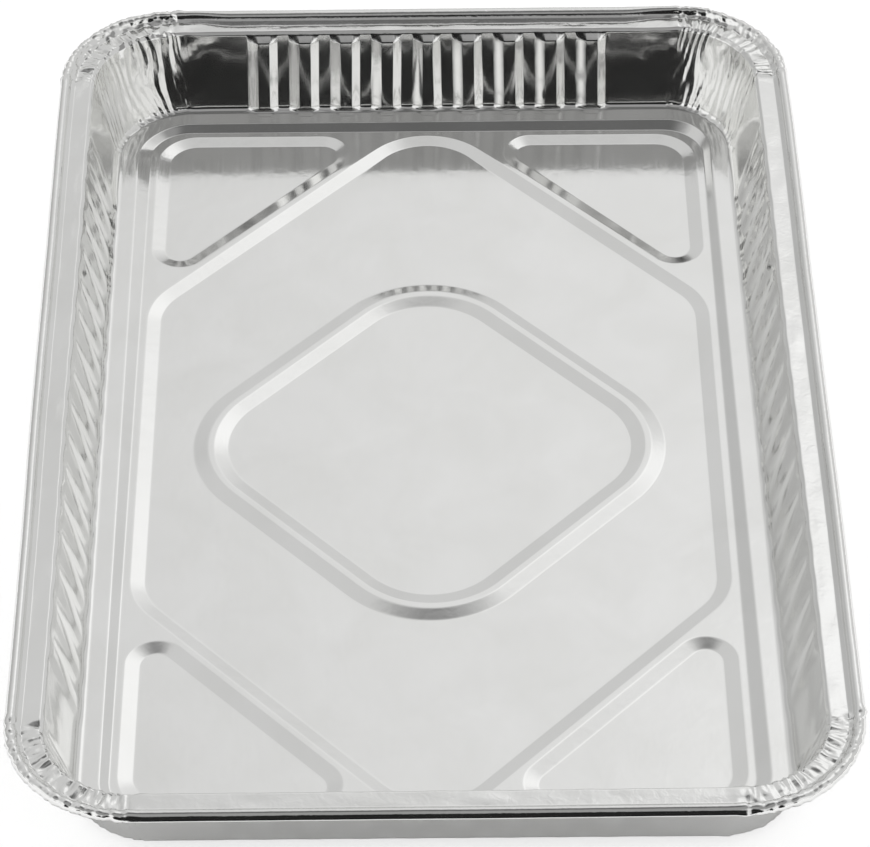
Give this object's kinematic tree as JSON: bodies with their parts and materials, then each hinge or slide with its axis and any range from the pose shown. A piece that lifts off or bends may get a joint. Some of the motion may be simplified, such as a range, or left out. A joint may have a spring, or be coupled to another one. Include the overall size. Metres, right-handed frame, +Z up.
{
  "type": "foil roasting pan",
  "caption": "Shallow rectangular aluminium foil roasting pan with ribbed sloping walls, pleated corners, a rolled rim and an embossed floor.",
  "frame": {"origin": "centre of the footprint, on the surface that the pan stands on", "axes": "+X along the short way across the pan, +Y along its length, +Z up out of its open top"},
  "size_m": [0.23, 0.34, 0.0328],
  "materials": {
    "foil": "bright satin rolled foil"
  },
  "bodies": {
    "root": {"foil_pan": "foil"}
  },
  "joints": []
}
